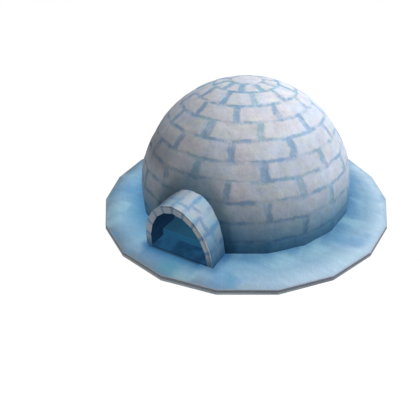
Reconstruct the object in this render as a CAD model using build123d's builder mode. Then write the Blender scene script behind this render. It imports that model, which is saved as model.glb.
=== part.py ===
from build123d import *
import math
import os

os.makedirs("parts", exist_ok=True)

# Millimetres, +Z up. The origin is the middle of the platform's underside, and the entrance
# looks along -Y. Every ring is a regular polygon in plan, with a corner on the entrance axis.
plan_sides = 20
blocks_per_course = 10

# Dome: an upright half ellipse, cut into courses at these angles up from the platform.
dome_radius = 1803.0
dome_rise = 1862.0
wall_thickness = 200.0
course_tops = (6.2, 14.7, 23.2, 31.6, 39.3, 48.0, 56.5, 65.2, 74.4, 81.9)
joint_angle = 1.6
joint_recess = 12.0
key_crown_radius = 80.0

# Round snow platform: a spread foot, a recessed band and the deck, which is level under the
# walls and the porch and falls from there to its bevelled rim.
walkway_width = 627.0
foot_height = 26.0
foot_spread = 12.0
foot_shoulder = 4.0
band_height = 14.0
band_setback = 12.0
deck_height = 54.0
deck_fall = 24.0
deck_lip = 8.0

# Entrance arch: half an ellipse of wedge blocks in two rings, the second through the wall.
arch_blocks = 10
passage_half_width = 456.0
passage_height = 700.0
jamb_thickness = 85.0
crown_thickness = 110.0
porch_reach = 236.0
front_ring_depth = 148.0
arch_joint_share = 0.04
arch_joint_recess = 0.09

# Floors: a thin ice sheet in the passage, then a step up to the living floor.
ice_thickness = 15.0
step_height = 130.0
step_setback = 22.0

platform_radius = dome_radius + walkway_width
platform_top = foot_height + band_height + deck_height
course_edges = (0.0,) + course_tops
half_block_turn = 180.0 / blocks_per_course
porch_front = dome_radius + porch_reach
porch_joint = porch_front - front_ring_depth
step_front = dome_radius - step_setback
level_radius = math.hypot(passage_half_width + jamb_thickness, porch_front)
level_radius /= math.cos(math.pi / plan_sides)


def shell_point(angle, inset):
    # Corner radius and height of the dome's plan polygon at an angle up its arc.
    turn = math.radians(angle)
    radius = (dome_radius - inset) * math.cos(turn)
    height = platform_top + (dome_rise - inset) * math.sin(turn)
    return radius, height


def arch_point(step, depth):
    # Point on the entrance arch: step counts its blocks, depth runs from inside 0 to outside 1.
    turn = math.radians(180.0 * step / arch_blocks)
    half_width = passage_half_width + depth * jamb_thickness
    rise = passage_height + depth * crown_thickness
    return half_width * math.cos(turn), platform_top + rise * math.sin(turn)


def block_span(index):
    # The steps between which an arch block lies, short of the joints beside it.
    first = index + arch_joint_share if index > 0 else 0.0
    last = index + 1 - arch_joint_share if index < arch_blocks - 1 else float(arch_blocks)
    return first, last


def arch_outline(depth):
    # All corners of the arch at one depth, from the right foot over to the left foot.
    corners = []
    for index in range(arch_blocks):
        for step in block_span(index):
            corners.append(arch_point(step, depth))
    return corners


def save(name, builder):
    builder.part.label = name
    export_step(builder.part, "parts/" + name + ".step")


def frustum(lower, upper):
    # Flat-sided solid between two plan polygons, each a (corner radius, height) pair.
    widens = upper[0] > lower[0]
    wide, narrow = (upper, lower) if widens else (lower, upper)
    rise = upper[1] - lower[1]
    run = (wide[0] - narrow[0]) * math.cos(math.pi / plan_sides)
    with BuildPart() as body:
        with BuildSketch(Plane((0, 0, wide[1]), z_dir=(0, 0, -1 if widens else 1))):
            RegularPolygon(wide[0], plan_sides)
        extrude(amount=rise, taper=math.degrees(math.atan2(run, rise)))
    return body.part


def polygon_ring(low, high, outer_inset, inner_inset):
    # One whole course of the dome with bed faces square to its wall.
    outer_low = shell_point(low, outer_inset)
    outer_high = shell_point(high, outer_inset)
    inner_low = shell_point(low, inner_inset)
    inner_high = shell_point(high, inner_inset)
    wall = frustum(outer_low, outer_high)
    hollow = frustum(inner_low, inner_high)
    seat_above = frustum(inner_high, outer_high)
    with BuildPart() as ring:
        add(wall)
        if outer_low[1] > inner_low[1]:
            add(frustum(inner_low, outer_low))
        add(hollow, mode=Mode.SUBTRACT)
        add(seat_above, mode=Mode.SUBTRACT)
    return ring.part


def joint_spokes(start_angle):
    # Thin wedges through the axis, one in every upright joint of a course.
    half_joint = math.tan(math.radians(joint_angle / 2)) * platform_radius
    with BuildPart() as spokes:
        with BuildSketch():
            with PolarLocations(0, blocks_per_course, start_angle):
                Polygon(
                    (0, 0),
                    (platform_radius, -half_joint),
                    (platform_radius, half_joint),
                    align=None,
                )
        extrude(amount=platform_top + dome_rise)
    return spokes.part


def interior():
    # The hollow of the dome, down to the platform.
    with BuildPart() as hollow:
        for low, high in zip(course_edges, course_edges[1:]):
            add(frustum(shell_point(low, wall_thickness), shell_point(high, wall_thickness)))
    return hollow.part


def entrance_cut():
    # The whole outside of the entrance arch, run in to the middle of the dome.
    with BuildPart() as cut:
        with BuildSketch(Plane.XZ):
            with BuildLine():
                Polyline(*arch_outline(1.0), close=True)
            make_face()
        extrude(amount=porch_front)
    return cut.part


def arch_blocks_between(name, back, front, hollow):
    # One ring of the entrance's wedge blocks.
    with BuildPart() as blocks:
        with BuildSketch(Plane.XZ.offset(back)):
            for index in range(arch_blocks):
                first, last = block_span(index)
                with BuildLine():
                    Polyline(
                        arch_point(first, 0.0),
                        arch_point(first, 1.0),
                        arch_point(last, 1.0),
                        arch_point(last, 0.0),
                        close=True,
                    )
                make_face()
        extrude(amount=front - back)
        if hollow:
            add(hollow, mode=Mode.SUBTRACT)
    save(name, blocks)


def arch_joints_between(name, back, front, hollow):
    # The packed snow in the joints of one ring, set back from both faces.
    with BuildPart() as joints:
        with BuildSketch(Plane.XZ.offset(back)):
            for index in range(1, arch_blocks):
                first = index - arch_joint_share
                last = index + arch_joint_share
                with BuildLine():
                    Polyline(
                        arch_point(first, arch_joint_recess),
                        arch_point(first, 1 - arch_joint_recess),
                        arch_point(last, 1 - arch_joint_recess),
                        arch_point(last, arch_joint_recess),
                        close=True,
                    )
                make_face()
        extrude(amount=front - back)
        if hollow:
            add(hollow, mode=Mode.SUBTRACT)
    save(name, joints)


# Platform
band_top = foot_height + band_height
rim_top = platform_top - deck_fall
with BuildPart() as platform_foot:
    foot_edge = (platform_radius + foot_spread, 0.0)
    add(frustum(foot_edge, (platform_radius + foot_shoulder, foot_height)))
save("platform_foot", platform_foot)
with BuildPart() as platform_band:
    band_radius = platform_radius - band_setback
    add(frustum((band_radius, foot_height), (band_radius, band_top)))
save("platform_band", platform_band)
with BuildPart() as platform_deck:
    lip_foot = (platform_radius, rim_top - deck_lip)
    lip_head = (platform_radius - deck_lip, rim_top)
    add(frustum((platform_radius, band_top), lip_foot))
    add(frustum(lip_foot, lip_head))
    add(frustum(lip_head, (level_radius, platform_top)))
save("platform_deck", platform_deck)

# Dome courses, with their upright joints staggered by half a block
dome_hollow = interior()
doorway = entrance_cut()
arch_top = platform_top + passage_height + crown_thickness
for number, (low, high) in enumerate(zip(course_edges, course_edges[1:]), start=1):
    start_angle = -90.0 if number % 2 else -90.0 + half_block_turn
    spokes = joint_spokes(start_angle)
    whole = polygon_ring(low, high, 0.0, wall_thickness)
    filling = polygon_ring(low, high, joint_recess, wall_thickness - joint_recess)
    beside_door = shell_point(low, wall_thickness)[1] < arch_top
    with BuildPart() as course:
        add(whole)
        add(spokes, mode=Mode.SUBTRACT)
        if beside_door:
            add(doorway, mode=Mode.SUBTRACT)
    save(f"course_{number:02d}_blocks", course)
    with BuildPart() as course_joints:
        add(filling)
        add(spokes, mode=Mode.INTERSECT)
        if beside_door:
            add(doorway, mode=Mode.SUBTRACT)
    save(f"course_{number:02d}_joints", course_joints)

# Key block that closes the crown
key_inner = shell_point(course_tops[-1], wall_thickness)
key_outer = shell_point(course_tops[-1], 0.0)
key_crown = (key_crown_radius, platform_top + dome_rise)
with BuildPart() as key_block:
    add(frustum(key_inner, key_outer))
    add(frustum(key_outer, key_crown))
save("key_block", key_block)

# Entrance arch
arch_blocks_between("porch_front_blocks", porch_joint, porch_front, None)
arch_joints_between("porch_front_joints", porch_joint, porch_front, None)
arch_blocks_between("porch_back_blocks", 0.0, porch_joint, dome_hollow)
arch_joints_between("porch_back_joints", 0.0, porch_joint, dome_hollow)

# Ice sheet in the passage
with BuildPart() as passage_floor:
    with BuildSketch(Plane.XZ.offset(step_front)):
        with BuildLine():
            Polyline(*arch_outline(0.0), close=True)
        make_face()
        with Locations((0, platform_top + ice_thickness / 2)):
            Rectangle(2 * passage_half_width, ice_thickness, mode=Mode.INTERSECT)
    extrude(amount=porch_front - step_front)
save("passage_floor", passage_floor)

# Living floor, with its step standing in the doorway
with BuildPart() as living_floor:
    add(dome_hollow)
    split(bisect_by=Plane.XY.offset(platform_top + step_height), keep=Keep.BOTTOM)
    with BuildSketch(Plane.XZ):
        with BuildLine():
            Polyline(*arch_outline(0.0), close=True)
        make_face()
        with Locations((0, platform_top + step_height / 2)):
            Rectangle(2 * passage_half_width, step_height, mode=Mode.INTERSECT)
    extrude(amount=step_front)
save("living_floor", living_floor)
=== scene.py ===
import bpy
import bmesh
import math
import numpy as np
from functools import partialmethod
from mathutils import Matrix, Vector


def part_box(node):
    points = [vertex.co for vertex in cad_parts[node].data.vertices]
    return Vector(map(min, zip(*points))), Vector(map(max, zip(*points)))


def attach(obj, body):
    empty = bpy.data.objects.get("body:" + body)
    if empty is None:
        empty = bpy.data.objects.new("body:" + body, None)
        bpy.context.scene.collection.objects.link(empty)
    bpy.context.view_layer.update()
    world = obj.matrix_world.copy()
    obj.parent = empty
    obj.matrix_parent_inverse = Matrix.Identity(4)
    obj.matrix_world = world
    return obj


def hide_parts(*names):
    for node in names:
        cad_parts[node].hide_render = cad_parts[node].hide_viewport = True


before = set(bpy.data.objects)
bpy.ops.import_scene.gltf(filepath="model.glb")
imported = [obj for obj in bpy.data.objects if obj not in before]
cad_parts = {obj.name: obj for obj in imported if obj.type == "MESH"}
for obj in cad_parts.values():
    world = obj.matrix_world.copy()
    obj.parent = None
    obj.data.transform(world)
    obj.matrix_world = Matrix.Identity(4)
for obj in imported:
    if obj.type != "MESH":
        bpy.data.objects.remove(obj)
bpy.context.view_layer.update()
print("frame loaded:", len(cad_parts), "nodes")

# How the igloo is divided
courseCount = 10
sides = 20  # corners of the plan, one of them on the entrance axis
sideTurn = math.tau / sides
blocksPerCourse = 10
blockTurn = math.tau / blocksPerCourse
passageRise = 0.700  # up to the passage's crown, in metres
farOff = 9.0  # takes the place of a gap where there is no edge to measure from
hair = 0.01  # as good as nothing, for angles and for shares

# Sizes read from the frame, in metres
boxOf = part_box
floorZ = boxOf("course_01_blocks")[0].z  # top of the platform
domeRadius = boxOf("course_01_blocks")[1].x
domeRise = boxOf("key_block")[1].z - floorZ
courseNames = [f"course_{n:02d}" for n in range(1, courseCount + 1)]
courseAngles = [0.0] + [
    math.asin((boxOf(name + "_blocks")[1].z - floorZ) / domeRise) for name in courseNames
]
wallThickness = domeRise - (boxOf("key_block")[0].z - floorZ) / math.sin(courseAngles[-1])
platformRadius = boxOf("platform_deck")[1].x
porch = boxOf("porch_front_blocks")
archHalfWidth = porch[1].x
archRise = porch[1].z - floorZ
passageHalfWidth = boxOf("passage_floor")[1].x
porchFront = -porch[0].y
porchSplit = -porch[1].y
stepFront = -boxOf("living_floor")[0].y


def tint(colour):
    # Colours are light values, or codes that say how they look on screen
    if isinstance(colour, str):
        parts = [int(colour[i:i + 2], 16) / 255 for i in (0, 2, 4)]
        colour = [p / 12.92 if p <= 0.04045 else ((p + 0.055) / 1.055) ** 2.4 for p in parts]
    return (*colour, 1.0)


# Node building
class Wire:
    # A node's output that can be used in sums
    def __init__(self, graph, socket):
        self.graph = graph
        self.socket = socket

    def apply(self, operation, *others):
        sockets = dict(enumerate((self,) + others))
        return self.graph.wire("ShaderNodeMath", sockets, operation=operation)

    def after(self, operation, first):
        return self.graph.wire("ShaderNodeMath", {0: first, 1: self}, operation=operation)

    def span(self, other):
        # The length of a pair of distances
        return (self * self + other * other).sqrt()

    __add__ = __radd__ = partialmethod(apply, "ADD")
    __sub__ = partialmethod(apply, "SUBTRACT")
    __rsub__ = partialmethod(after, "SUBTRACT")
    __mul__ = __rmul__ = partialmethod(apply, "MULTIPLY")
    __truediv__ = partialmethod(apply, "DIVIDE")
    __rtruediv__ = partialmethod(after, "DIVIDE")
    __pow__ = partialmethod(apply, "POWER")
    over = partialmethod(apply, "GREATER_THAN")
    under = partialmethod(apply, "LESS_THAN")
    atLeast = partialmethod(apply, "MAXIMUM")
    atMost = partialmethod(apply, "MINIMUM")
    abs = partialmethod(apply, "ABSOLUTE")
    sqrt = partialmethod(apply, "SQRT")
    sin = partialmethod(apply, "SINE")
    cos = partialmethod(apply, "COSINE")


class Graph:
    # A node tree, with one method for any node
    def __init__(self, tree):
        self.tree = tree

    def node(self, kind, sockets=None, **settings):
        made = self.tree.nodes.new(kind)
        for name, value in settings.items():
            setattr(made, name, value)
        for key, value in (sockets or {}).items():
            socket = made.inputs[key]
            if isinstance(value, Wire):
                self.tree.links.new(value.socket, socket)
            elif socket.type == "RGBA":
                socket.default_value = tint(value)
            else:
                socket.default_value = value
        return made

    def wire(self, kind, sockets=None, output=0, **settings):
        return Wire(self, self.node(kind, sockets, **settings).outputs[output])

    def smooth(self, value, start, end, low=0.0, high=1.0):
        sockets = {"Value": value, "From Min": start, "From Max": end, "To Min": low, "To Max": high}
        return self.wire("ShaderNodeMapRange", sockets, interpolation_type="SMOOTHSTEP")

    def noise(self, place, scale, detail=2.0, roughness=0.5):
        sockets = {"Vector": place, "Scale": scale, "Detail": detail, "Roughness": roughness}
        return self.wire("ShaderNodeTexNoise", sockets, "Fac")

    def split(self, vector):
        parts = self.node("ShaderNodeSeparateXYZ", {0: vector})
        return [Wire(self, parts.outputs[i]) for i in range(3)]

    def join(self, x, y, z):
        return self.wire("ShaderNodeCombineXYZ", {0: x, 1: y, 2: z})


class Look(Graph):
    # The shader of a material or of the world, with the place that it shades
    def __init__(self, owner):
        owner.use_nodes = True
        super().__init__(owner.node_tree)
        self.tree.nodes.clear()
        self.spot = self.wire("ShaderNodeTexCoord", None, "Object")
        self.axes = self.split(self.spot)
        self.height = self.axes[2] - floorZ

    def layer(self, title):
        # A value that the mesh carries
        return self.wire("ShaderNodeAttribute", None, "Fac", attribute_name=title)

    def patches(self, scale, detail, roughness, start, end, low=0.0, high=1.0):
        # Soft patches: noise, risen from low to high between two of its levels
        return self.smooth(self.noise(self.spot, scale, detail, roughness), start, end, low, high)

    def rough(self, *settings):
        return self.noise(self.spot, *settings) - 0.5

    def grain(self, layers, place=None):
        # Noise around 1, from layers of scale, detail, roughness and strength
        parts = [self.noise(place or self.spot, *layer[:3]) * layer[3] for layer in layers]
        return sum(parts, 1.0 - sum(layer[3] for layer in layers) / 2)

    def ramp(self, value, stops):
        made = self.node("ShaderNodeValToRGB", {0: value})
        marks = made.color_ramp.elements
        marks.remove(marks[1])
        marks[0].position = stops[0][0]
        marks[0].color = tint(stops[0][1])
        for place, colour in stops[1:]:
            marks.new(place).color = tint(colour)
        return Wire(self, made.outputs[0])

    def blend(self, factor, first, second, kind="MIX"):
        sockets = {0: factor, 6: first, 7: second}
        settings = {"data_type": "RGBA", "blend_type": kind, "clamp_factor": True}
        return self.wire("ShaderNodeMix", sockets, 2, **settings)

    def times(self, tone, shade, factor=1.0):
        return self.blend(factor, tone, shade, "MULTIPLY")

    def matte(self, tone, roughness=None):
        # Snow with grain and small lumps in its skin
        height = self.noise(self.spot, *snow["fineBump"]) * snow["fineShare"]
        height = height + self.noise(self.spot, *snow["coarseBump"])
        sockets = {"Height": height, "Distance": snow["bumpDepth"], "Strength": snow["bumpStrength"]}
        bump = self.wire("ShaderNodeBump", sockets)
        return {"Base Color": tone, "Roughness": roughness or snow["roughness"], "Normal": bump}

    def glowing(self, tone, share, glow, roughness=None):
        # The same, with a painted glow over a share of it, as if a little daylight came through
        made = self.matte(tone, roughness)
        made["Emission Color"] = self.blend(share, (0.0, 0.0, 0.0), glow)
        made["Emission Strength"] = 1.0
        return made


class ShapeTree(Graph):
    # A geometry tree with named inputs: whole numbers, numbers, and None for a material
    def __init__(self, name, inputs):
        super().__init__(bpy.data.node_groups.new(name, "GeometryNodeTree"))
        face = self.tree.interface
        kinds = {int: "Int", float: "Float", type(None): "Material"}
        for title, value in inputs.items():
            kind = "NodeSocket" + kinds[type(value)]
            socket = face.new_socket(title, in_out="INPUT", socket_type=kind)
            if value is not None:
                socket.default_value = value
        face.new_socket("Shape", in_out="OUTPUT", socket_type="NodeSocketGeometry")
        self.source = self.tree.nodes.new("NodeGroupInput")

    def given(self, title):
        return Wire(self, self.source.outputs[title])

    def store(self, shape, values):
        for title, value in values.items():
            sockets = {"Geometry": shape, "Name": title, "Value": value}
            shape = self.wire("GeometryNodeStoreNamedAttribute", sockets, data_type="FLOAT")
        return shape

    def chance(self, mark, number, low=-1.0, high=1.0):
        # A random value that stays the same all over one block
        sockets = {2: low, 3: high, "ID": mark, "Seed": self.given("Seed") + number}
        return self.wire("FunctionNodeRandomValue", sockets, 1, data_type="FLOAT")

    def wornEdge(self, gap):
        # How deep a block's edge is worn, by distance from it
        near = 1.0 - (gap / self.given("Edge Softness")).atMost(1.0)
        return near ** 2.0 * self.given("Edge Depth")

    def gather(self, value):
        # Brings the rows of a grid closer together near its two edges
        return value * 0.35 + (value * math.pi).sin() * 0.325

    def repeat(self, cells):
        # A grid block for each number, with the number and the grid's places in the block
        shape = self.wire("GeometryNodeMeshCube", cells)
        count = self.given("Blocks")
        spots = self.wire("GeometryNodeMeshLine", {"Count": count, "Offset": (0.0, 0.0, 0.0)})
        copies = self.wire("GeometryNodeInstanceOnPoints", {"Points": spots, "Instance": shape})
        number = self.wire("GeometryNodeInputIndex")
        sockets = {"Geometry": copies, "Name": "mark", "Value": number}
        settings = {"data_type": "FLOAT", "domain": "INSTANCE"}
        marked = self.wire("GeometryNodeStoreNamedAttribute", sockets, **settings)
        whole = self.wire("GeometryNodeRealizeInstances", {"Geometry": marked})
        mark = self.wire("GeometryNodeInputNamedAttribute", {"Name": "mark"}, data_type="FLOAT")
        return whole, mark, *self.split(self.wire("GeometryNodeInputPosition"))

    def finish(self, shape, spot):
        # Moves the points to their places and gives the mesh its snow
        moved = self.wire("GeometryNodeSetPosition", {"Geometry": shape, "Position": spot})
        smooth = self.wire("GeometryNodeSetShadeSmooth", {"Geometry": moved})
        sockets = {"Geometry": smooth, "Material": self.given("Snow")}
        done = self.wire("GeometryNodeSetMaterial", sockets)
        out = self.tree.nodes.new("NodeGroupOutput")
        self.tree.links.new(done.socket, out.inputs[0])


def addObject(name, data):
    piece = bpy.data.objects.new(name, data)
    bpy.context.scene.collection.objects.link(piece)
    return piece


def shapeFrom(name, shapeTree, values):
    # A plain mesh object made by a geometry tree
    piece = addObject(name, bpy.data.meshes.new(name))
    modifier = piece.modifiers.new("shape", "NODES")
    modifier.node_group = shapeTree.tree
    for item in shapeTree.tree.interface.items_tree:
        if item.name in values:
            modifier[item.identifier] = values[item.name]
    deps = bpy.context.evaluated_depsgraph_get()
    mesh = bpy.data.meshes.new_from_object(piece.evaluated_get(deps))
    piece.modifiers.remove(modifier)
    mesh.name = name
    piece.data = mesh
    return piece


def place(piece, slot, *nodes):
    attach(piece, "root")
    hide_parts(*nodes)


# Smooth shading over the flat sides of the plan and of the arch, and over worn edges. The dome is
# rounded least at its foot and more with every metre up from there.
rounding = {"atFoot": 0.5, "perMetre": 1.1, "wornEdge": 0.014}


def wornShare(piece, gap):
    # 1 at a block's edges, falling to 0 a little way in
    offEdge = np.minimum(layerOf(piece, "sideGap"), layerOf(piece, gap))
    return np.clip(1.0 - offEdge / rounding["wornEdge"], 0.0, 1.0)


def valuesOf(piece, kind):
    # The places or the normals of a piece's points, in rows
    points = piece.data.vertices
    values = np.empty(len(points) * 3)
    points.foreach_get(kind, values)
    return values.reshape(-1, 3)


def turnNormals(piece, turns, first, second):
    # Turns each point's normal from the first axis towards the second
    normals = valuesOf(piece, "normal")
    a, b = normals[:, first].copy(), normals[:, second].copy()
    normals[:, first] = a * np.cos(turns) - b * np.sin(turns)
    normals[:, second] = a * np.sin(turns) + b * np.cos(turns)
    return normals


def layerOf(piece, title):
    values = np.empty(len(piece.data.vertices))
    piece.data.attributes[title].data.foreach_get("value", values)
    return values


def softenEdges(piece, normals):
    # Turns the normals along a block's outer edges out from the wall, as if worn
    outward = valuesOf(piece, "co") - np.array([0.0, 0.0, floorZ])
    outward /= np.array([domeRadius, domeRadius, domeRise]) ** 2
    outward /= np.linalg.norm(outward, axis=1)[:, None]
    worn = wornShare(piece, "bedGap") * (layerOf(piece, "depth") < hair)
    return normals + (outward - normals) * worn[:, None]


def easePlan(piece, worn=False):
    spots = valuesOf(piece, "co")
    share = (np.arctan2(spots[:, 1], spots[:, 0]) + math.pi / 2) / sideTurn % 1.0
    turns = (share - 0.5) * sideTurn
    turns[np.abs(share - 0.5) > 0.5 - hair] = 0.0  # a corner's normal already points the right way
    low = rounding["atFoot"]
    turns *= np.clip(low + rounding["perMetre"] * (spots[:, 2] - floorZ), low, 1.0)
    normals = turnNormals(piece, turns, 0, 1)
    if worn:
        normals = softenEdges(piece, normals)
    piece.data.normals_split_custom_set_from_vertices(normals.tolist())


def easeArch(piece):
    mark, turn, share = [layerOf(piece, title) for title in ("mark", "turn", "share")]
    middle = (mark + 0.5) * math.pi / entrance["tree"]["Blocks"]
    flat, curved = [
        np.arctan2(np.sin(at) / archRise, np.cos(at) / archHalfWidth) for at in (middle, turn)
    ]
    normals = turnNormals(piece, curved - flat, 0, 2)
    # Edges beside a joint point straight out, so that they look worn
    outward = np.stack([np.cos(curved), np.zeros(len(curved)), np.sin(curved)], axis=1)
    worn = wornShare(piece, "seamGap")
    normals += (outward - normals) * (worn * (share > 1.0 - hair))[:, None]
    onFace = (layerOf(piece, "face") > 0.5) * (share > hair) * (share < 1.0 - hair)
    normals += (np.array([0.0, -1.0, 0.0]) - normals) * (worn * onFace)[:, None]
    piece.data.normals_split_custom_set_from_vertices(normals.tolist())


def finishFor(name, painted):
    # A material whose look comes from the function given
    made = bpy.data.materials.new(name)
    look = Look(made)
    sockets = {"Specular IOR Level": snow["shine"], **painted(look)}
    shader = look.wire("ShaderNodeBsdfPrincipled", sockets)
    look.node("ShaderNodeOutputMaterial", {"Surface": shader})
    return made


# Snow finishes
snow = {
    # Patches are given by scale, detail, roughness and the levels between which they rise, and
    # clouds and grain by scale, detail, roughness and strength
    "lilac": "e7e6f1",
    "cool": "dee8f9",
    "coolPatches": (2.3, 3.0, 0.5, 0.40, 0.60),
    "pale": "e6ecea",
    "palePatches": (7.0, 4.0, 0.6, 0.44, 0.62, 0.0, 0.6),
    "clouds": [(3.4, 2.0, 0.5, 0.22), (8.5, 2.0, 0.5, 0.36)],
    "speckle": [(21.0, 5.0, 0.7, 0.30)],
    "fineBump": (60.0, 4.0, 0.7),
    "fineShare": 0.3,
    "coarseBump": (12.0, 5.0, 0.6),
    "bumpDepth": 0.009,
    "bumpStrength": 0.8,
    "roughness": 0.82,
    "shine": 0.15,
    # The wall's inside: a dark teal painted as shade
    "inside": "1e5a73",
    "insideFrom": (0.05, 0.5),  # share of the wall's thickness over which it turns blue
    # Colour of the painted glow on the wall's inside
    "daylight": "143444",
    # Shade up the wall, by share of the arc from foot to crown, and how much higher it reaches
    # from right to left
    "footShade": [
        (0.00, (0.07, 0.18, 0.27)),
        (0.04, (0.09, 0.23, 0.33)),
        (0.12, (0.28, 0.43, 0.51)),
        (0.20, (0.56, 0.64, 0.68)),
        (0.30, (0.84, 0.85, 0.87)),
        (0.42, (0.87, 0.88, 0.89)),
        (0.55, (1.00, 1.00, 1.00)),
    ],
    "shadeShift": (0.3, -1.3, 0.0, 0.045),
    "rightShade": (0.82, 0.84, 0.87),
    "rightPart": (0.5, 1.3, 0.0, 0.8),
    # A place beside the entrance in painted shade: its edges across, in depth, below and above
    "leftShade": (0.68, 0.69, 0.70),
    "leftPart": [(-0.25, -0.65), (-0.5, -0.9), (0.42, 0.52), (0.75, 0.55)],
    # Shade around the entrance, by distance from its outline
    "entranceShade": [
        (0.00, (0.27, 0.40, 0.45)),
        (0.18, (0.47, 0.58, 0.62)),
        (0.32, (0.85, 0.90, 0.92)),
        (0.50, (1.00, 1.00, 1.00)),
    ],
}
# Stains where loose snow fills the joints, their widths in metres
stain = {
    "tint": (0.37, 0.58, 0.79),
    "teal": (0.43, 0.69, 0.80),
    "tealPatches": (2.9, 2.0, 0.5, 0.42, 0.60),
    "byRise": [(0.0, 0.5, 0.58, 0.86), (0.8, 0.97, 0.0, 0.18)],  # faint at the foot, clear at the crown
    "sideFade": (5.0, 3.0, 0.6, 0.34, 0.56, 0.46, 0.92),
    "bedFade": (3.6, 4.0, 0.6, 0.40, 0.58, 0.20, 0.97),
    "ragged": (13.0, 4.0, 0.65),
    "sideRagged": 0.11,
    "bedRagged": 0.08,
    "sideWidth": 0.030,
    "sideSpread": 0.018,  # what a joint's own number adds to the width
    "sideSoftness": 0.020,
    "bedWidth": (0.042, 0.002),
    "packBed": (0.008, 0.030),
}


def snowTone(look):
    # Packed snow: lilac, cool and faintly green patches, soft clouds and a rough speckle
    tone = look.blend(look.patches(*snow["coolPatches"]), snow["lilac"], snow["cool"])
    tone = look.blend(look.patches(*snow["palePatches"]), tone, snow["pale"])
    return look.times(tone, look.grain(snow["clouds"]) * look.grain(snow["speckle"]))


def footShade(look):
    x, y, _ = look.axes
    rise = (look.height / domeRise).atLeast(0.0).atMost(1.0)
    climb = rise.apply("ARCSINE") * (2.0 / math.pi) + look.smooth(x, *snow["shadeShift"])
    shade = look.ramp(climb, snow["footShade"])
    shade = look.times(shade, snow["rightShade"], look.smooth(x, *snow["rightPart"]))
    left = 1.0
    for value, edges in zip((x, y, rise, rise), snow["leftPart"]):
        left = left * look.smooth(value, *edges)
    return look.times(shade, snow["leftShade"], left)


def entranceShade(look):
    x, y, _ = look.axes
    wide, high = x / archHalfWidth, look.height.atLeast(0.0) / archRise
    away = wide.span(high) - 1.0 + y.over(0.0) * farOff
    return look.ramp(away, snow["entranceShade"])


def wallTone(look):
    tone = look.times(snowTone(look), footShade(look))
    return look.times(tone, entranceShade(look))


def stained(look, tone, share):
    # The tone darkened and turned blue or teal
    green = look.patches(*stain["tealPatches"])
    return look.times(tone, look.blend(green, stain["tint"], stain["teal"]), share)


def stainFade(look, kind):
    # Stains fade in and out along a joint
    rise = look.height / domeRise
    foot, crown = [look.smooth(rise, *part) for part in stain["byRise"]]
    return look.patches(*stain[kind]) * (foot + crown)


def wallLook(look, tone):
    # The wall's inside is painted dark teal as shade and given a painted glow, as if daylight came through
    # the snow
    inner = look.smooth(look.layer("depth"), *snow["insideFrom"])
    tone = look.blend(inner, tone, snow["inside"])
    return look.glowing(tone, inner, snow["daylight"])


def paintDome(look):
    tone = wallTone(look)
    rough = look.rough(*stain["ragged"])
    side = look.layer("sideGap") + rough * stain["sideRagged"]
    bed = look.layer("bedGap") + rough * stain["bedRagged"]
    width = look.layer("smudge") * stain["sideSpread"] + stain["sideWidth"]
    besideJoint = look.smooth(side, width + stain["sideSoftness"], width - stain["sideSoftness"])
    besideJoint = besideJoint * stainFade(look, "sideFade")
    besideBed = look.smooth(bed, *stain["bedWidth"]) * stainFade(look, "bedFade")
    return wallLook(look, stained(look, tone, besideJoint.atLeast(besideBed)))


def paintPack(look):
    tone = wallTone(look)
    offBed = look.smooth(look.layer("bedGap"), *stain["packBed"])
    fade = stainFade(look, "sideFade") * offBed + stainFade(look, "bedFade") * (1.0 - offBed)
    return wallLook(look, stained(look, tone, fade))


domeSnow = finishFor("domeSnow", paintDome)
packedSnow = finishFor("packedSnow", paintPack)


# Dome: ten courses of cut blocks over a recessed ring of packed snow
course = {
    "tree": {
        "Blocks": blocksPerCourse,
        "Columns": 45,
        "Rows": 21,
        "Joint Turn": math.radians(0.5),  # half an upright joint
        "Bed Gap": 0.004,  # half a bed joint
        "Edge Depth": 0.002,
        "Edge Softness": 0.030,
        "Wander": 0.10,  # how far the joints stray from their lines
    },
    "taper": 0.55,  # how much wider or narrower a joint gets, as a share of its width
    "lean": 3.0,  # how far it leans, in half joints
    "frontWidening": {5: 1.0, 7: 2.2, 9: 1.2},  # wider joints over the entrance, by course
    "sideways": (3.3, 3.0, 0.6),  # scale, detail and roughness of the upright joints' strays
    "upAndDown": (3.4, 3.0, 0.6),  # and of the bed joints'
    "apart": (9.0, 4.0, 7.0),  # keeps one from repeating the other
    "dipShare": 0.8,
    "swells": [(2.2, 1.0, 0.014), (7.0, 0.0, 0.007)],  # scale, detail and height of the wall's lumps
    "sunk": 0.0125,
    "besideDoorway": 3,  # the lowest courses end at the doorway
    "doorway": ((passageHalfWidth + archHalfWidth) / 2, (passageRise + archRise) / 2),
    "seed": 4,
    "pack": {
        "Blocks": 1,
        "Columns": 401,
        "Rows": 9,
        "Recess": 0.003,
        "Joint Turn": math.radians(0.02),
        "Bed Gap": 0.0,
        "Edge Depth": 0.0,
        "Wander": 0.0,
    },
}


def domePoint(angle, climb, inset):
    # Place on the dome's wall, set in from its outside, with the plan's flat sides
    turned = (angle + math.pi / 2) / sideTurn + sides
    across = (turned.apply("FRACT") - 0.5) * sideTurn
    flatness = math.cos(sideTurn / 2) / across.cos()
    reach = (domeRadius - inset) * climb.cos() * flatness
    height = (domeRise - inset) * climb.sin()
    return reach * angle.cos(), reach * angle.sin(), height


def swelling(graph, flat):
    # How far the hand-cut wall stands out of or sinks below its true face
    large, small = [graph.noise(flat, scale, detail) * height for scale, detail, height in course["swells"]]
    return large + small - course["sunk"]


def clearDoorway(x, y, height):
    # Pushes what stands in the doorway out into the middle of the entrance arch
    halfWidth, rise = course["doorway"]
    nearness = (x / halfWidth).span(height / rise).atLeast(0.02)
    push = 1.0 / nearness.atMost(1.0)
    push = (push - 1.0) * y.under(0.0) + 1.0
    return x * push, height * push


def doorwayTurn(climb, depth):
    # The turn from the doorway's axis to its side, at a height and a depth in the wall
    halfWidth, rise = course["doorway"]
    level = (domeRise - depth) * climb.sin() / rise
    across = (1.0 - level * level).atLeast(0.0).sqrt() * halfWidth
    return (across / ((domeRadius - depth) * climb.cos())).apply("ARCSINE")


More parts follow.
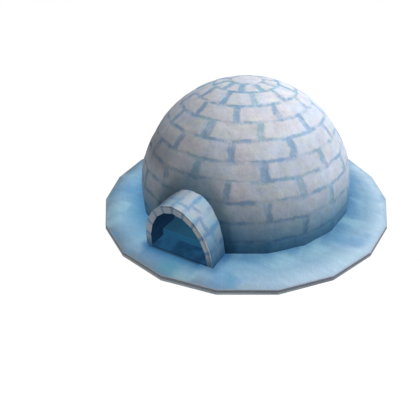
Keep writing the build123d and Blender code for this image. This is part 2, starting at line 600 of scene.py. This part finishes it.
def growCourseTree():
    graph = ShapeTree("snowCourse", {
        **course["tree"],
        **dict.fromkeys(("Low Angle", "High Angle", "Start Angle", "Recess"), 0.0),
        **dict.fromkeys(("Doorway", "Doorway Split", "Front Widening"), 0.0),
        "Seed": 1,
        "Snow": None,
    })
    given = graph.given
    cells = {"Vertices X": given("Columns"), "Vertices Y": 3, "Vertices Z": given("Rows")}
    blocks, mark, along, inward, up = graph.repeat(cells)
    along, up, inward = graph.gather(along), graph.gather(up), inward + 0.5
    rise = up + 0.5
    # The first and the last block end at the doorway instead of at a joint
    past = along.over(0.0)
    atEnd = mark.under(0.5) * (1.0 - past) + mark.over(given("Blocks") - 1.5) * past
    atDoor = atEnd * given("Doorway")
    free = 1.0 - atDoor
    # Both blocks beside a joint take its width, taper and lean from the joint's own number
    joint = (mark + past).apply("FLOORED_MODULO", given("Blocks"))
    taper = graph.chance(joint, 11) * (1.0 - rise) + graph.chance(joint, 12) * rise
    widening = given("Front Widening") * joint.under(0.5)
    gap = given("Joint Turn") * (taper * course["taper"] + 1.0 + widening * (1.0 - rise)) * free
    lean = graph.chance(joint, 13) * (rise - 0.5) * given("Joint Turn") * course["lean"]
    # Height in the course, which stands on the platform or on the bed joint below
    meanRadius = (domeRadius + domeRise) / 2
    raised = given("Low Angle").over(hair)
    tall = given("High Angle") - given("Low Angle")
    bedTurn = given("Bed Gap") / meanRadius
    lowGap = bedTurn * raised
    climb = given("Low Angle") + lowGap + rise * (tall - bedTurn - lowGap)
    # Turn around the dome, between the joints or the doorway's sides
    depth = given("Recess") + inward * (wallThickness - given("Recess") * 2.0)
    doorway = doorwayTurn(climb, depth) * given("Doorway")
    split = given("Doorway Split")
    step = math.tau / (given("Blocks") - split)
    low = ((mark - split * 0.5) * step).atLeast(doorway)
    high = ((mark + 1.0 - split * 0.5) * step).atMost(math.tau - doorway)
    angle = given("Start Angle") + (low + high) * 0.5 + along * (high - low - gap * 2.0)
    # Joints stray from their lines, most of all at a block's edges
    flat = graph.join(*domePoint(angle, climb, depth))
    moved = graph.wire("ShaderNodeVectorMath", {0: flat, 1: course["apart"]}, operation="ADD")
    stray = (graph.noise(flat, *course["sideways"]) - 0.5) * given("Wander") / meanRadius
    dip = (graph.noise(moved, *course["upAndDown"]) - 0.5) * given("Wander") / meanRadius
    offEdge = along.abs() * 2.0 * free
    offBed = (up.abs() * 2.0) ** 2.0 * (1.0 - up.under(0.0) * (1.0 - raised))
    angle = angle + (lean + stray / climb.cos()) * offEdge
    climb = climb + dip * offBed * course["dipShare"]
    # Distances to the joints, which wear the edges
    sideGap = (0.5 - along.abs()) * (high - low) * climb.cos() * meanRadius + atDoor * farOff
    lowEdge = rise * tall * meanRadius + (1.0 - raised) * farOff
    bedGap = lowEdge.atMost((1.0 - rise) * tall * meanRadius)
    face = graph.join(*domePoint(angle, climb, inward * wallThickness))
    drop = graph.wornEdge(sideGap.atMost(bedGap)) - swelling(graph, face)
    x, y, height = domePoint(angle, climb, depth + drop * (1.0 - inward * 2.0))
    x, height = clearDoorway(x, y, height)
    smudge = graph.chance(joint, 14, 0.0, 1.0)
    shape = graph.store(blocks, {"sideGap": sideGap, "bedGap": bedGap, "depth": inward, "smudge": smudge})
    graph.finish(shape, graph.join(x, y, height + floorZ))
    return graph


courseTree = growCourseTree()
for number, name in enumerate(courseNames, start=1):
    odd = number % 2 == 1
    beside = number <= course["besideDoorway"]
    split = beside and not odd  # a block is cut in two by the doorway
    start = -math.pi / 2 + (0.0 if odd or beside else blockTurn / 2)
    shared = {
        "Low Angle": courseAngles[number - 1],
        "High Angle": courseAngles[number],
        "Doorway": float(beside),
    }
    blocks = shapeFrom(f"snowCourse{number:02d}", courseTree, {
        **shared,
        "Blocks": blocksPerCourse + split,
        "Doorway Split": float(split),
        "Start Angle": start,
        "Front Widening": course["frontWidening"].get(number, 0.0),
        "Seed": course["seed"] + number * 31,
        "Snow": domeSnow,
    })
    easePlan(blocks, worn=True)
    place(blocks, "snow_block", name + "_blocks")
    # The packed snow is one ring behind the blocks, its ends at the doorway or behind a block
    pack = shapeFrom(f"packedRing{number:02d}", courseTree, {
        **shared,
        **course["pack"],
        "Start Angle": start if beside else start + blockTurn * 4.5,
        "Snow": packedSnow,
    })
    easePlan(pack, worn=True)
    place(pack, "joint_snow", name + "_joints")
print("dome courses:", courseCount)


# Key block that closes the crown
key = {
    "gap": 0.007,
    "edgeDepth": 0.010,
    "edgeSoftness": 0.045,
    "spokes": 60,
    "rows": 9,
    "rowSpread": 1.2,  # over 1, the rows lie closer at the edge than at the crown
    "smudge": 0.5,
}


def ringOf(mesh, spokes, corner, height):
    # A ring of points on the plan's polygon, whose corners lie this far from the axis
    ring = []
    for spoke in range(spokes):
        angle = -math.pi / 2 + math.tau * spoke / spokes
        across = ((angle + math.pi / 2) / sideTurn % 1.0 - 0.5) * sideTurn
        reach = corner * math.cos(sideTurn / 2) / math.cos(across)
        ring.append(mesh.verts.new((reach * math.cos(angle), reach * math.sin(angle), height)))
    return ring


def skin(mesh, rings, first, last):
    # Faces between the rings, closed by a point at each end
    count = len(rings[0])
    beside = [(k, (k + 1) % count) for k in range(count)]
    for lower, upper in zip(rings, rings[1:]):
        for k, n in beside:
            mesh.faces.new((upper[k], lower[k], lower[n], upper[n]))
    for k, n in beside:
        mesh.faces.new((first, rings[0][n], rings[0][k]))
        mesh.faces.new((last, rings[-1][k], rings[-1][n]))


def makeKeyBlock():
    mesh = bmesh.new()
    titles = ("depth", "bedGap", "sideGap", "smudge")
    layers = {title: mesh.verts.layers.float.new(title) for title in titles}
    low = courseAngles[-1] + key["gap"] / domeRise
    halves = []
    for inset, side in ((0.0, 1.0), (wallThickness, -1.0)):
        pole = mesh.verts.new((0.0, 0.0, floorZ + domeRise - inset))
        pole[layers["bedGap"]] = farOff
        rings = []
        for row in range(key["rows"]):
            climb = low + (math.pi / 2 - low) * (row / key["rows"]) ** key["rowSpread"]
            fromEdge = (climb - low) * domeRise
            drop = (1.0 - min(fromEdge / key["edgeSoftness"], 1.0)) ** 2 * key["edgeDepth"]
            deep = inset + drop * side
            corner = (domeRadius - deep) * math.cos(climb)
            height = floorZ + (domeRise - deep) * math.sin(climb)
            ring = ringOf(mesh, key["spokes"], corner, height)
            for vert in ring:
                vert[layers["bedGap"]] = fromEdge
            rings.append(ring)
        halves.append((pole, rings))
    (crown, outer), (below, inner) = halves
    for vert in [below] + [vert for ring in inner for vert in ring]:
        vert[layers["depth"]] = 1.0
    for vert in mesh.verts:
        vert[layers["sideGap"]] = farOff
        vert[layers["smudge"]] = key["smudge"]
    skin(mesh, inner[::-1] + outer, below, crown)
    return solidFrom("keyBlock", mesh, domeSnow)


def solidFrom(name, mesh, material):
    # A smooth-shaded object from a bmesh
    bmesh.ops.recalc_face_normals(mesh, faces=mesh.faces)
    for face in mesh.faces:
        face.smooth = True
    data = bpy.data.meshes.new(name)
    mesh.to_mesh(data)
    mesh.free()
    data.materials.append(material)
    return addObject(name, data)


keyBlock = makeKeyBlock()
easePlan(keyBlock, worn=True)
place(keyBlock, "snow_block", "key_block")
print("key block done")


# Entrance arch: two rings of wedge blocks over a core of packed snow
entrance = {
    "cells": {"Vertices X": 19, "Vertices Y": 15, "Vertices Z": 15},
    "tree": {
        "Blocks": 10,
        "Joint Share": 0.012,
        "Stagger": 0.035,  # how far the seam between the rings steps from block to block
        "Seam": 0.007,
        "Trim Radius": (domeRadius - wallThickness) * 0.985,  # stays inside the hollow's flat sides
        "Edge Depth": 0.002,
        "Edge Softness": 0.022,
        "Seed": 7,
    },
    "jointSpread": 0.4,  # how much wider or narrower a joint is, as a share of its width
    "packRecess": 0.003,
    "lumps": (6.0, 3.0),  # scale and detail of the outside's unevenness
    "lumpHeight": 0.012,
    "groove": 0.008,
    "grooveWidth": (0.12, 0.02),
    "groovePlace": (0.6, 1.7, 0.60, 0.86),  # moves out over these turns, from right foot to crown
    "grooveEnd": (2.2, 1.6),
    "snow": "b7c2d2",
    "sky": "9dbfd6",
    "skyPatches": (4.5, 3.0, 0.5, 0.42, 0.62, 0.0, 0.9),
    "grain": [(42.0, 4.0, 0.65, 0.26), (9.0, 3.0, 0.5, 0.20)],
    "jointTint": (0.44, 0.62, 0.84),
    "jointFade": (4.0, 3.0, 0.5, 0.40, 0.60, 0.15, 0.92),
    "ragged": (14.0, 4.0, 0.65),
    "raggedBy": 0.10,
    "jointWidth": (0.062, 0.002),
    "seamWidth": (0.050, -0.004),
    # Painted shade: the passage side of the blocks is dark navy
    "inside": "072c4a",
    "insideEdge": 0.10,  # share of the thickness over which a block turns dark inside
    "coreInsideEdge": 0.3,
    # Shade up the outside, by share of the arch's rise, with a wavering edge
    "footShade": [
        (0.00, (0.04, 0.14, 0.22)),
        (0.12, (0.07, 0.19, 0.28)),
        (0.35, (0.21, 0.32, 0.40)),
        (0.65, (0.52, 0.62, 0.62)),
        (0.95, (0.92, 0.92, 0.89)),
    ],
    "footWaver": (3.0, 2.0),
    "waverBy": 0.35,
    "leftShade": (0.60, 0.63, 0.66),
    "leftPart": (1.5, 2.4),
    # Front face
    "face": "eef6fd",
    "faceRagged": 0.05,
    "faceJoint": (0.044, 0.002, 0.0, 0.95),
    # Painted shade in the groove under the face's outer lip
    "shadedGroove": (0.33, 0.31, 0.32),
    "grooveShadeShare": 0.8,
    "crownTint": (0.50, 0.68, 0.90),
    "crownPart": [(1.15, 1.5), (2.6, 2.2, 0.0, 0.35)],
    # Painted shade where the face meets the ground
    "foot": "4b7c97",
    "faceFootShade": (0.34, 0.04, 0.0, 0.85),
}


def shadedGroove(graph, share, turn):
    # A groove up the face from the right foot, which moves to the outer edge and dies out. The face is
    # painted in shade along it.
    middle = graph.smooth(turn, *entrance["groovePlace"])
    line = graph.smooth((share - middle).abs(), *entrance["grooveWidth"])
    return line * graph.smooth(turn, *entrance["grooveEnd"])


def across(inner, outer, share, recess):
    # A size of the ring at a share of its thickness, set in from both sides
    return share * (outer - inner - recess * 2.0) + recess + inner


def growArchTree():
    graph = ShapeTree("entranceRing", {
        **entrance["tree"],
        "Front": -porchFront,
        "Back": -porchSplit,
        **dict.fromkeys(("Seam In Front", "Seam Behind", "Trim", "Recess", "Groove"), 0.0),
        "Snow": None,
    })
    given = graph.given
    blocks, mark, along, thick, deep = graph.repeat(entrance["cells"])
    along, share, back = graph.gather(along), thick + 0.5, graph.gather(deep) + 0.5
    # Place along the arch, between its joints, with straight lines from joint to joint
    joint = mark + along.over(0.0)
    atFoot = joint.under(0.5) + joint.over(given("Blocks") - 0.5)
    spread = graph.chance(joint, 21) * entrance["jointSpread"] + 1.0
    gap = given("Joint Share") * spread * (1.0 - atFoot)
    reach = along * (1.0 - gap * 2.0) + 0.5
    step = math.pi / given("Blocks")
    start, end = mark * step, (mark + 1.0) * step
    wide = start.cos() * (1.0 - reach) + end.cos() * reach
    high = start.sin() * (1.0 - reach) + end.sin() * reach
    turn = (mark + reach) * step
    arc = step * (archHalfWidth + archRise) * 0.5
    sideGap = (0.5 - along.abs()) * arc + atFoot * farOff
    # The rings meet at a seam that steps forward and back from block to block
    uneven = (mark.apply("FLOORED_MODULO", 2.0) * 2.0 - 1.0) * given("Stagger")
    front = given("Front") + given("Seam In Front") * (uneven + given("Seam") * 0.5)
    rear = given("Back") + given("Seam Behind") * (uneven - given("Seam") * 0.5)
    # The second ring ends flush with the dome's hollow
    halfWidth = across(passageHalfWidth, archHalfWidth, share, given("Recess"))
    rise = across(passageRise, archRise, share, given("Recess"))
    lift = (rise * high / (domeRise - wallThickness)) ** 2.0
    hollow = given("Trim Radius") ** 2.0 * (1.0 - lift) - (halfWidth * wide) ** 2.0
    trimmed = hollow.atLeast(0.04).sqrt() * -1.0
    rear = rear * (1.0 - given("Trim")) + trimmed * given("Trim")
    frontGap, rearGap = back * (rear - front), (1.0 - back) * (rear - front)
    isFront = 1.0 - given("Seam In Front")
    seamGap = (frontGap + isFront * farOff).atMost(rearGap + (1.0 - given("Seam Behind")) * farOff)
    # Worn edges, lumps on the outside and the groove in the face
    spot = graph.join(wide * halfWidth, front + frontGap, high * rise)
    lumps = graph.noise(spot, *entrance["lumps"]) * entrance["lumpHeight"] - entrance["lumpHeight"] / 2
    drop = graph.wornEdge(sideGap.atMost(seamGap))
    inset = (drop - lumps * given("Edge Depth").over(0.0)) * (share * 2.0 - 1.0)
    press = shadedGroove(graph, share, turn) * given("Groove") + graph.wornEdge(sideGap)
    face = deep.under(hair - 0.5) * isFront
    shape = graph.store(blocks, {
        "sideGap": sideGap, "seamGap": seamGap, "share": share, "face": face, "turn": turn,
    })
    graph.finish(shape, graph.join(
        wide * (halfWidth - inset),
        front + frontGap + press * (1.0 - back) * isFront,
        high * (rise - inset) + floorZ,
    ))
    return graph


def archLook(look, beside, faceTone, edge):
    # The outside is darker and bluer towards the foot and on the left, in painted shade, and blue beside
    # the joints
    wavering = look.height / archRise + look.rough(*entrance["footWaver"]) * entrance["waverBy"]
    sky = look.patches(*entrance["skyPatches"])
    tone = look.times(
        look.blend(sky, entrance["snow"], entrance["sky"]), look.ramp(wavering, entrance["footShade"])
    )
    left = look.smooth(look.layer("turn"), *entrance["leftPart"])
    tone = look.times(tone, entrance["leftShade"], left)
    tone = look.times(tone, entrance["jointTint"], look.patches(*entrance["jointFade"]) * beside)
    face = look.layer("face")
    tone = look.blend(face, tone, faceTone)
    # The passage side of the blocks is painted dark navy, as shade
    inner = look.smooth(look.layer("share"), edge, 0.0) * (1.0 - face)
    tone = look.blend(inner, tone, entrance["inside"])
    return look.matte(look.times(tone, look.grain(entrance["grain"])))


def paintArch(look):
    turn = look.layer("turn")
    rough = look.rough(*entrance["ragged"])
    side, seam = [look.layer(title) + rough * entrance["raggedBy"] for title in ("sideGap", "seamGap")]
    beside = look.smooth(side, *entrance["jointWidth"]).atLeast(look.smooth(seam, *entrance["seamWidth"]))
    # The face is paler, with painted shade in a groove under its outer lip that dies out to the left
    filled = look.smooth(look.layer("sideGap") + rough * entrance["faceRagged"], *entrance["faceJoint"])
    tone = look.times(entrance["face"], entrance["jointTint"], filled)
    grooveShade = shadedGroove(look, look.layer("share"), turn) * entrance["grooveShadeShare"]
    tone = look.times(tone, entrance["shadedGroove"], grooveShade)
    risen, sunk = [look.smooth(turn, *part) for part in entrance["crownPart"]]
    tone = look.times(tone, entrance["crownTint"], risen * sunk)
    # The face turns dark blue towards its foot, in painted shade
    low = look.smooth(look.height / archRise, *entrance["faceFootShade"])
    return archLook(look, beside, look.blend(low, tone, entrance["foot"]), entrance["insideEdge"])


def paintArchCore(look):
    tone = look.times(entrance["face"], entrance["jointTint"])
    return archLook(look, 1.0, tone, entrance["coreInsideEdge"])


archTree = growArchTree()
archSnow = finishFor("entranceSnow", paintArch)
archCore = finishFor("entranceJointSnow", paintArchCore)
core = {
    "Joint Share": 0.0002,  # its pieces only just stand apart
    "Edge Depth": 0.0,
    "Recess": entrance["packRecess"],
    "Snow": archCore,
}
rings = [
    ("entranceFrontRing", "porch_block", "porch_front_blocks", {
        "Seam Behind": 1.0, "Groove": entrance["groove"], "Snow": archSnow,
    }),
    ("entranceFrontCore", "porch_joint", "porch_front_joints", {
        **core, "Front": -porchFront + entrance["packRecess"], "Groove": entrance["groove"],
    }),
    ("entranceBackRing", "porch_block", "porch_back_blocks", {
        "Front": -porchSplit, "Seam In Front": 1.0, "Trim": 1.0, "Seed": 19, "Snow": archSnow,
    }),
    ("entranceBackCore", "porch_joint", "porch_back_joints", {
        **core, "Front": -porchSplit, "Trim": 1.0,
        "Trim Radius": entrance["tree"]["Trim Radius"] + entrance["packRecess"],
    }),
]
for name, slot, node, values in rings:
    ring = shapeFrom(name, archTree, values)
    easeArch(ring)
    place(ring, slot, node)
print("entrance rings:", len(rings))


# Platform: deck with a rounded lip, over a recessed band and a foot
deck = {
    "spokes": 240,
    "levelRows": 28,
    "slopeRows": 24,
    "lipRows": 6,
    "lip": 0.008,
    "fall": 0.024,
    "level": math.hypot(archHalfWidth, porchFront) / math.cos(sideTurn / 2),
    "unevenness": 0.005,
    # Tone from the dome's foot out to the rim, on the shady and on the sunny side, with painted shade near
    # the foot and at the shady rim and painted light at the sunny rim
    "shady": [
        (0.750, "5e99c6"), (0.800, "72abd0"), (0.840, "82b4d5"), (0.900, "8fb9d8"),
        (0.945, "86aac4"), (0.985, "748da1"),
    ],
    "sunny": [
        (0.750, "5d91b8"), (0.800, "76a6c7"), (0.840, "8db5d2"), (0.880, "99bdd7"),
        (0.920, "accce3"), (0.960, "bedaf0"), (1.000, "bedbed"),
    ],
    # Colours laid over it, and where each starts, is full and how strong it is
    "clouds": [("b0dbe8", (0.52, 0.70, 0.0, 0.45)), ("5c9bd0", (0.48, 0.32, 0.0, 0.45))],
    "cloudNoise": (1.7, 2.0),
    "patchNoise": (2.6, 1.0),
    "drift": (1.1, 2.0, 0.03),  # scale, detail and reach of the tones' wavering
    "teal": "4fa3bd",
    "tealPatches": (0.58, 0.74, 0.0, 0.6),
    "tealSpot": (-0.02, -2.27),
    "tealReach": (0.42, 0.15, 0.0, 0.5),
    # Painted shade beside the entrance and in the corner by the dome, painted shade in front of the sill,
    # and a painted shadow in a line under it
    "entranceShadow": "2c6190",
    "entranceShadowReach": (0.14, 0.0, 0.0, 0.55),
    "cornerShadeReach": [(0.8, 0.1), (0.84, 0.75, 0.0, 0.5)],
    "sill": "2b75aa",
    "sillReach": (0.34, 0.0, 0.0, 0.75),
    "contactShadow": "263c4e",
    "contactShadowReach": (0.05, 0.005, 0.0, 0.75),
    "streaks": [(1.5, 3.0, 0.6, 0.30)],
    "grain": [(30.0, 4.0, 0.6, 0.16)],
    # Shady and sunny tones of the lip and of the side, and where the tones change
    "lipTones": ("8f979f", "b4c0d2"),
    "sideTones": ("b4c0ca", "9caac0"),
    "lipFrom": (0.990, 0.9965),
    "sideFrom": (-0.004, -0.012),
    "roughness": 0.75,
}


def deckRows(low, high):
    # Distances in from the edge and heights, from the middle of the top round to the underside
    corner, lip, fall = platformRadius, deck["lip"], deck["fall"]
    level = corner - deck["level"]
    middle = 0.4 * corner
    rows = [(corner * (1.0 - share), high) for share in (0.2, 0.4, 0.6)]
    for k in range(1, deck["levelRows"]):
        rows.append((level + (middle - level) * (1.0 - k / deck["levelRows"]), high))
    for k in range(deck["slopeRows"] + 1):
        share = k / deck["slopeRows"]
        bend = share - 0.5 * math.sin(math.pi * share) ** 2 * (1.0 - share) * 0.3
        rows.append((level + (lip - level) * share, high - fall * bend))
    for k in range(1, deck["lipRows"] + 1):
        turn = k * math.pi / (2 * deck["lipRows"])
        rows.append((lip * (1.0 - math.sin(turn)), high - fall - lip * (1.0 - math.cos(turn))))
    return rows + [(0.0, low + 0.002), (0.002, low)]


def hollowAt(x, y, share):
    # Depth of the trodden snow's shallow hollows, none of them under the walls or at the lip
    inner, outer = domeRadius / platformRadius + 0.01, 1.0 - deck["lip"] / platformRadius
    weight = min(max((share - inner) / 0.03, 0.0), 1.0) * min(max((outer - share) / 0.02, 0.0), 1.0)
    wave = math.sin(5.1 * x + 1.3) * math.sin(4.3 * y + 0.4) + 0.6 * math.sin(11.0 * x - 7.0 * y)
    return deck["unevenness"] * weight * (0.5 + 0.31 * wave)


def makeDeck():
    low, high = [corner.z for corner in boxOf("platform_deck")]
    mesh = bmesh.new()
    reachLayer = mesh.verts.layers.float.new("reach")
    rings = []
    for inward, height in deckRows(low, high):
        ring = ringOf(mesh, deck["spokes"], platformRadius - inward, height)
        for vert in ring:
            vert[reachLayer] = (platformRadius - inward) / platformRadius
        rings.append(ring)
    top = mesh.verts.new((0.0, 0.0, high))
    bottom = mesh.verts.new((0.0, 0.0, low))
    skin(mesh, rings[::-1], bottom, top)
    for vert in mesh.verts:
        if vert.co.z > high - deck["fall"] - 0.0001:
            vert.co.z -= hollowAt(vert.co.x, vert.co.y, vert[reachLayer])
    return solidFrom("platformDeck", mesh, finishFor("deckSnow", paintDeck))


def sunnySide(look):
    # 1 on the side of the platform that is to the right of the entrance, which is painted as lit, 0 on the
    # other, which is painted as in shade
    x, y, _ = look.axes
    return look.smooth((y.apply("ARCTAN2", x) - math.radians(10)).cos(), -0.17, 0.77)


def deckTone(look, reach, sunny):
    # Soft clouds of aqua, blue and teal, and faint streaks
    x, y, z = look.axes
    scale, detail, drift = deck["drift"]
    drifted = reach + look.rough(scale, detail) * drift
    tone = look.blend(sunny, look.ramp(drifted, deck["shady"]), look.ramp(drifted, deck["sunny"]))
    cloud = look.noise(look.spot, *deck["cloudNoise"])
    for code, part in deck["clouds"]:
        tone = look.blend(look.smooth(cloud, *part), tone, code)
    patch = look.noise(look.spot, *deck["patchNoise"])
    teal = look.smooth(patch, *deck["tealPatches"]) * (1.0 - sunny)
    tone = look.blend(teal, tone, deck["teal"])
    besideSpot = (x - deck["tealSpot"][0]).span(y - deck["tealSpot"][1]) + patch * 0.3
    streaks = look.grain(deck["streaks"], look.join(x * 1.2, y * 7.0, z))
    return look.times(tone, streaks), look.smooth(besideSpot, *deck["tealReach"])


def paintDeck(look):
    x, y, _ = look.axes
    reach = look.layer("reach")
    sunny = sunnySide(look)
    tone, teal = deckTone(look, reach, sunny)
    # Painted shade: deeper blue beside and in front of the entrance and in the corner by the dome, and a
    # painted shadow as a dark line under its sill
    offX = (x.abs() - archHalfWidth).atLeast(0.0)
    offY = ((y + porchFront) * -1.0).atLeast(0.0)
    entranceShadow = offX.span(offY) + y.over(0.0) * farOff
    nearX = ((x + 0.08).abs() - archHalfWidth + 0.13).atLeast(0.0)
    front = nearX * 2.0 + offY + y.over(0.02 - porchFront) * farOff
    across, inward = [look.smooth(gap, *part) for gap, part in zip((offX, reach), deck["cornerShadeReach"])]
    layers = [
        ("entranceShadow", across * inward * x.over(0.0)),
        ("entranceShadow", look.smooth(entranceShadow, *deck["entranceShadowReach"])),
        ("sill", look.smooth(front, *deck["sillReach"])),
        ("teal", teal),
        ("contactShadow", look.smooth(front, *deck["contactShadowReach"])),
    ]
    for name, share in layers:
        tone = look.blend(share, tone, deck[name])
    lip, side = [look.blend(sunny, *deck[part]) for part in ("lipTones", "sideTones")]
    tone = look.blend(look.smooth(reach, *deck["lipFrom"]), tone, lip)
    tone = look.blend(look.smooth(look.height + deck["fall"], *deck["sideFrom"]), tone, side)
    return look.matte(look.times(tone, look.grain(deck["grain"])), deck["roughness"])


deckPiece = makeDeck()
easePlan(deckPiece)
place(deckPiece, "deck_snow", "platform_deck")


# The rim's two lower layers and the floors keep their shapes
rim = {
    # Shady and sunny tones, and the foot's narrow upper side, painted in shade
    "band": ("b2bac3", "757c84"),
    "foot": ("eaf4fd", "8a929b"),
    "footTopShade": "747b83",
    "grain": [(3.0, 3.0, 0.5, 0.2), (40.0, 3.0, 0.6, 0.26)],
    "roughness": 0.8,
}
floors = {
    # Painted shade: the floors of the passage and of the dome are dark blue
    "passage": ("1a4265", "2a6086"),
    "passagePatches": (3.0, 3.0, 0.5, 0.35, 0.65),
    "passageGrain": [(30.0, 3.0, 0.6, 0.3)],
    "passageRoughness": 0.5,
    "streak": "102a4c",
    "streakWidth": (0.10, 0.0, 0.0, 0.6),
    "streakLine": (0.8, -0.35, 0.93),
    "living": ("1f4c66", "275e7c"),
    "livingPatches": (2.0, 3.0, 0.5, 0.3, 0.7),
    "livingGrain": [(25.0, 3.0, 0.6, 0.3)],
    "livingRoughness": 0.8,
    # Colour of the painted glow on the step in the doorway
    "step": "1a4662",
}


def paintRim(tones, top=None):
    def painted(look):
        tone = look.blend(sunnySide(look), tones[0], tones[1])
        # The foot's upper side is painted darker, as shade
        if top:
            level = boxOf("platform_foot")[1].z
            upper = look.smooth(look.axes[2], level - 0.0015, level - 0.0002)
            tone = look.blend(upper, tone, top)
        tone = look.times(tone, look.grain(rim["grain"]))
        return look.matte(tone, rim["roughness"])
    return painted


def floorTone(look, name):
    patches = look.patches(*floors[name + "Patches"])
    return look.blend(patches, *floors[name]), look.grain(floors[name + "Grain"])


def paintPassage(look):
    # Ice, painted dark blue as in shade, with a dark streak slantwise across its front
    x, y, _ = look.axes
    tone, grain = floorTone(look, "passage")
    alongX, alongY, place = floors["streakLine"]
    offStreak = (x * alongX + y * alongY - place).abs()
    tone = look.blend(look.smooth(offStreak, *floors["streakWidth"]), tone, floors["streak"])
    return look.matte(look.times(tone, grain), floors["passageRoughness"])


def paintLiving(look):
    # Painted shade and glow: the floor is dark, and the step that stands in the doorway glows blue, as if
    # daylight showed through it
    tone, grain = floorTone(look, "living")
    step = look.smooth(look.axes[1], -stepFront + 0.004, -stepFront + 0.001)
    tone = look.times(tone, grain)
    return look.glowing(tone, step, floors["step"], floors["livingRoughness"])


def paintNode(node, material):
    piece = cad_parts[node]
    slots = piece.material_slots
    if slots:
        for slot in slots:
            slot.material = material
    else:
        piece.data.materials.append(material)


paintNode("platform_band", finishFor("bandSnow", paintRim(rim["band"])))
paintNode("platform_foot", finishFor("footSnow", paintRim(rim["foot"], rim["footTopShade"])))
paintNode("passage_floor", finishFor("passageIce", paintPassage))
paintNode("living_floor", finishFor("livingFloorSnow", paintLiving))
print("platform and floors done")


# Studio: white floor, soft light and the camera
studio = {
    "floorRadius": 40.0,
    "floorTone": 0.18,
    "floorGlow": 0.87,
    "world": 0.31,
    "keyFrom": (122.0, 37.0),  # azimuth and height
    "keyStrength": 3.0,
    "keyAngle": 40.0,
    "camera": {"azimuth": 26.91, "height": 35.28, "distance": 5.384, "lens": 28.48, "shift": -0.0785},
    "aim": (0.291, -0.686, 0.094),
}


def towards(azimuth, height):
    # Unit direction, with azimuth counted from the entrance towards +X
    turn, climb = math.radians(azimuth), math.radians(height)
    return Vector((math.sin(turn) * math.cos(climb), -math.cos(turn) * math.cos(climb), math.sin(climb)))


def seenDirectly(look):
    rays = look.node("ShaderNodeLightPath").outputs
    kinds = ("Camera", "Glossy", "Transmission")
    camera, glossy, through = [Wire(look, rays[f"Is {kind} Ray"]) for kind in kinds]
    return camera.atLeast(glossy).atLeast(through)


def makeFloor():
    mesh = bmesh.new()
    bmesh.ops.create_circle(mesh, cap_ends=True, segments=96, radius=studio["floorRadius"])
    made = bpy.data.materials.new("studioFloor")
    look = Look(made)
    matte = look.wire("ShaderNodeBsdfDiffuse", {"Color": (studio["floorTone"],) * 3})
    glow = seenDirectly(look) * studio["floorGlow"]
    light = look.wire("ShaderNodeEmission", {"Color": (1.0, 1.0, 1.0), "Strength": glow})
    both = look.wire("ShaderNodeAddShader", {0: matte, 1: light})
    look.node("ShaderNodeOutputMaterial", {"Surface": both})
    floor = solidFrom("studioFloor", mesh, made)


def makeLights():
    lamp = bpy.data.lights.new("keyLight", "SUN")
    lamp.energy = studio["keyStrength"]
    lamp.angle = math.radians(studio["keyAngle"])
    lamp.use_shadow = False
    direction = towards(*studio["keyFrom"])
    addObject("keyLight", lamp).rotation_euler = direction.to_track_quat("Z", "Y").to_euler()
    world = bpy.data.worlds.new("studioWorld")
    look = Look(world)
    seen = seenDirectly(look)
    strength = seen + (1.0 - seen) * studio["world"]
    sky = look.wire("ShaderNodeBackground", {"Color": (1.0, 1.0, 1.0), "Strength": strength})
    look.node("ShaderNodeOutputWorld", {"Surface": sky})
    bpy.context.scene.world = world


def makeCamera():
    view = studio["camera"]
    back = towards(view["azimuth"], view["height"])
    right = towards(view["azimuth"] + 90.0, 0.0)
    data = bpy.data.cameras.new("camera")
    data.sensor_width = 36.0
    data.lens = view["lens"]
    data.shift_x = view["shift"]
    holder = addObject("camera", data)
    turned = Matrix((right, back.cross(right), back)).transposed().to_4x4()
    holder.matrix_world = Matrix.Translation(Vector(studio["aim"]) + back * view["distance"]) @ turned
    bpy.context.scene.camera = holder


makeFloor()
makeLights()
makeCamera()
bpy.context.scene.view_settings.view_transform = "Standard"
print("studio done")
